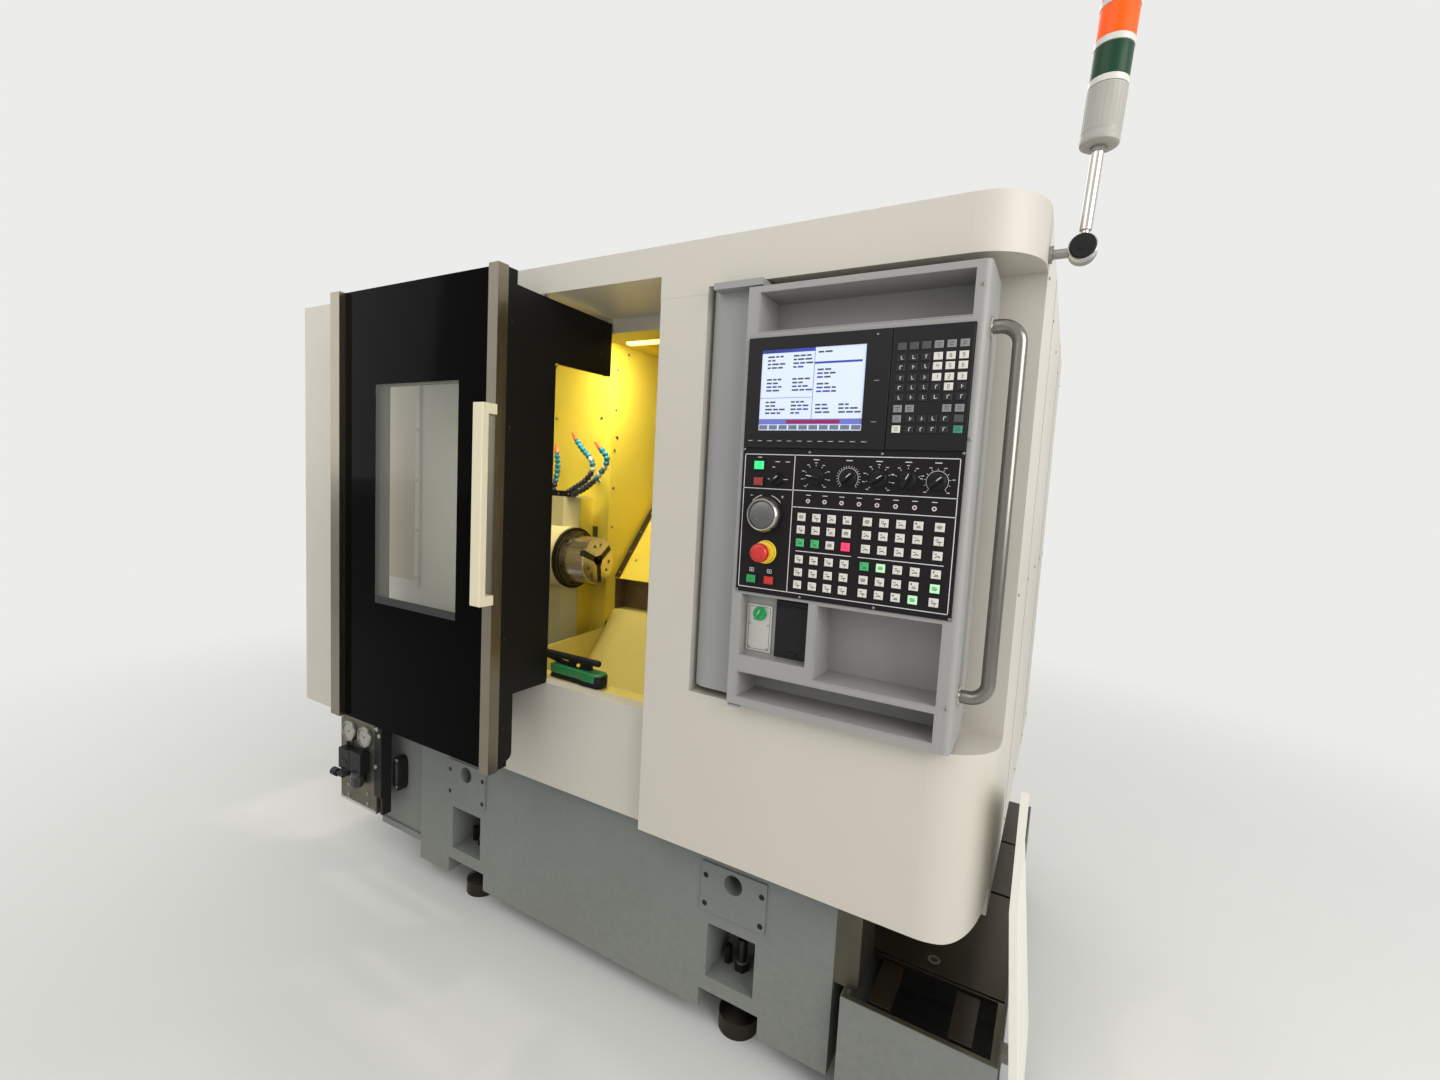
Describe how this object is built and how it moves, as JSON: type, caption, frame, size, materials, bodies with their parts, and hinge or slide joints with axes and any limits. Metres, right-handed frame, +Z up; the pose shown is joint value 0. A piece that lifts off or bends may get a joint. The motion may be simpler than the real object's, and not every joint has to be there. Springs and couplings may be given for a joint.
{
  "type": "slant-bed turning centre",
  "caption": "Compact slant-bed turning centre with sliding glass door, inner spindle and turret, swing-out control pendant, signal tower, and a pull-out coolant tank.",
  "frame": {"origin": "on the floor, at the middle of the outline", "axes": "+X to the operator's right along the spindle, +Y into the machine away from the operator, +Z up"},
  "size_m": [2.481, 1.702, 2.239],
  "materials": {
    "cover_paint": "textured off-white paint",
    "base_paint": "grey-green machine paint",
    "interior_paint": "pale yellow enamel",
    "cast_paint": "painted casting",
    "steel": "brushed",
    "ground_steel": "ground",
    "chrome": "polished",
    "black_glass": "smoked",
    "dark_paint": "satin black",
    "pendant_paint": "light grey paint",
    "post_paint": "mid grey paint",
    "panel_plastic": "dark violet grey",
    "key_plastic": "satin",
    "handle_plastic": "cream",
    "red_plastic": "gloss",
    "green_plastic": "gloss",
    "black_plastic": "satin",
    "hose_plastic": "gloss",
    "lens_plastic": "clear coloured lens",
    "light_plastic": "opal diffuser"
  },
  "bodies": {
    "machine": {"base_casting": "base_paint", "levelling_feet": "steel", "front_cover": "cover_paint", "header_cover": "cover_paint", "sill_cover": "cover_paint", "left_front_cover": "cover_paint", "recess_panel": "cover_paint", "enclosure_shell": "cover_paint", "door_rails": "steel", "ceiling_panel": "interior_paint", "work_light": "light_plastic", "headstock": "cast_paint", "interior_guard": "interior_paint", "way_cover": "interior_paint", "chip_chute": "interior_paint", "slant_bed": "cast_paint", "coolant_hoses": "hose_plastic", "wash_gun": "green_plastic", "pendant_post": "post_paint", "air_unit_plate": "cover_paint", "air_service_unit": "black_plastic", "tower_bracket": "steel", "drain_spout": "steel"},
    "door": {"door_frame": "dark_paint", "door_glass": "black_glass", "door_trims": "steel", "door_side_plate": "dark_paint", "door_handle": "handle_plastic", "door_rollers": "steel"},
    "pendant": {"pendant_housing": "pendant_paint", "display_unit": "panel_plastic", "operation_panel": "panel_plastic", "operation_keys": "key_plastic", "grab_rail": "chrome"},
    "spindle_unit": {"spindle": "ground_steel", "chuck_body": "ground_steel"},
    "jaw_1": {"chuck_jaw_1": "ground_steel"},
    "jaw_2": {"chuck_jaw_2": "ground_steel"},
    "jaw_3": {"chuck_jaw_3": "ground_steel"},
    "carriage": {"saddle": "cast_paint"},
    "cross_carriage": {"turret_carrier": "cast_paint"},
    "turret": {"turret_disc": "ground_steel"},
    "tower": {"tower_pole": "chrome", "tower_lenses": "lens_plastic"},
    "tank": {"coolant_tank": "base_paint", "tank_guard": "cover_paint"},
    "wheel": {"handwheel": "chrome"},
    "estop": {"estop_button": "red_plastic"},
    "lock": {"lock_switch": "chrome"},
    "selector": {"mode_selector": "green_plastic"},
    "flap": {"media_cover": "black_plastic"},
    "power_on": {"power_on_button": "green_plastic"},
    "power_off": {"power_off_button": "red_plastic"},
    "cycle_start": {"cycle_start_button": "green_plastic"},
    "feed_hold": {"feed_hold_button": "red_plastic"},
    "knob_1": {"selector_knob_1": "black_plastic"},
    "knob_2": {"selector_knob_2": "black_plastic"},
    "knob_3": {"selector_knob_3": "black_plastic"},
    "knob_4": {"selector_knob_4": "black_plastic"},
    "knob_5": {"selector_knob_5": "black_plastic"}
  },
  "joints": [
    {"name": "door_slide", "type": "slide", "parent": "machine", "child": "door", "axis": [1, 0, 0], "range_m": [0, 0.345]},
    {"name": "pendant_swing", "type": "hinge", "parent": "machine", "child": "pendant", "pos_m": [0.616, -0.665, 1.3], "axis": [0, 0, -1], "range_deg": [0, 85]},
    {"name": "spindle_turn", "type": "hinge", "parent": "machine", "child": "spindle_unit", "pos_m": [-0.211, -0.158, 1.052], "axis": [1, 0, 0], "continuous": true},
    {"name": "jaw_1_slide", "type": "slide", "parent": "spindle_unit", "child": "jaw_1", "axis": [0, -0.7986, -0.6018], "range_m": [0, 0.0027]},
    {"name": "jaw_2_slide", "type": "slide", "parent": "spindle_unit", "child": "jaw_2", "axis": [0, 0.9205, -0.3907], "range_m": [0, 0.0027]},
    {"name": "jaw_3_slide", "type": "slide", "parent": "spindle_unit", "child": "jaw_3", "axis": [0, -0.1219, 0.9925], "range_m": [0, 0.0027]},
    {"name": "carriage_slide", "type": "slide", "parent": "machine", "child": "carriage", "axis": [-1, 0, 0], "range_m": [0, 0.1]},
    {"name": "cross_slide", "type": "slide", "parent": "carriage", "child": "cross_carriage", "axis": [0, -0.6428, -0.766], "range_m": [-0.09, 0.03]},
    {"name": "turret_index", "type": "hinge", "parent": "cross_carriage", "child": "turret", "pos_m": [0.07, -0.01005, 1.22744], "axis": [1, 0, 0], "continuous": true},
    {"name": "tower_tilt", "type": "hinge", "parent": "machine", "child": "tower", "pos_m": [1.186, -0.529, 1.789], "axis": [0, 1, 0], "range_deg": [-3, 30]},
    {"name": "tank_slide", "type": "slide", "parent": "machine", "child": "tank", "axis": [1, 0, 0], "range_m": [0, 0.35]},
    {"name": "handwheel_turn", "type": "hinge", "parent": "pendant", "child": "wheel", "pos_m": [0.67, -0.682, 1.284], "axis": [0, -1, 0], "continuous": true},
    {"name": "estop_push", "type": "slide", "parent": "pendant", "child": "estop", "axis": [0, 1, 0], "range_m": [0, 0.005], "stiffness_N_per_m": 1500},
    {"name": "lock_turn", "type": "hinge", "parent": "pendant", "child": "lock", "pos_m": [0.69, -0.682, 1.357], "axis": [0, -1, 0], "range_deg": [-90, 0]},
    {"name": "selector_turn", "type": "hinge", "parent": "pendant", "child": "selector", "pos_m": [0.66, -0.658, 1.074], "axis": [0, -1, 0], "range_deg": [-90, 0]},
    {"name": "knob_1_turn", "type": "hinge", "parent": "pendant", "child": "knob_1", "pos_m": [0.772, -0.682, 1.365], "axis": [0, -1, 0], "range_deg": [-150, 150]},
    {"name": "knob_2_turn", "type": "hinge", "parent": "pendant", "child": "knob_2", "pos_m": [0.838, -0.682, 1.365], "axis": [0, -1, 0], "range_deg": [-150, 150]},
    {"name": "knob_3_turn", "type": "hinge", "parent": "pendant", "child": "knob_3", "pos_m": [0.895, -0.682, 1.365], "axis": [0, -1, 0], "range_deg": [-150, 150]},
    {"name": "knob_4_turn", "type": "hinge", "parent": "pendant", "child": "knob_4", "pos_m": [0.948, -0.682, 1.365], "axis": [0, -1, 0], "range_deg": [-150, 150]},
    {"name": "knob_5_turn", "type": "hinge", "parent": "pendant", "child": "knob_5", "pos_m": [1, -0.682, 1.365], "axis": [0, -1, 0], "range_deg": [-150, 150]},
    {"name": "power_on_push", "type": "slide", "parent": "pendant", "child": "power_on", "axis": [0, 1, 0], "range_m": [0, 0.003], "stiffness_N_per_m": 400},
    {"name": "power_off_push", "type": "slide", "parent": "pendant", "child": "power_off", "axis": [0, 1, 0], "range_m": [0, 0.003], "stiffness_N_per_m": 400},
    {"name": "cycle_start_push", "type": "slide", "parent": "pendant", "child": "cycle_start", "axis": [0, 1, 0], "range_m": [0, 0.003], "stiffness_N_per_m": 400},
    {"name": "feed_hold_push", "type": "slide", "parent": "pendant", "child": "feed_hold", "axis": [0, 1, 0], "range_m": [0, 0.003], "stiffness_N_per_m": 400},
    {"name": "media_cover_lift", "type": "hinge", "parent": "pendant", "child": "flap", "pos_m": [0.735, -0.6583, 1.107], "axis": [-1, 0, 0], "range_deg": [0, 95]}
  ],
  "couplings": [
    {"joint": "jaw_2_slide", "follows": "jaw_1_slide", "ratio": 1},
    {"joint": "jaw_3_slide", "follows": "jaw_1_slide", "ratio": 1}
  ]
}
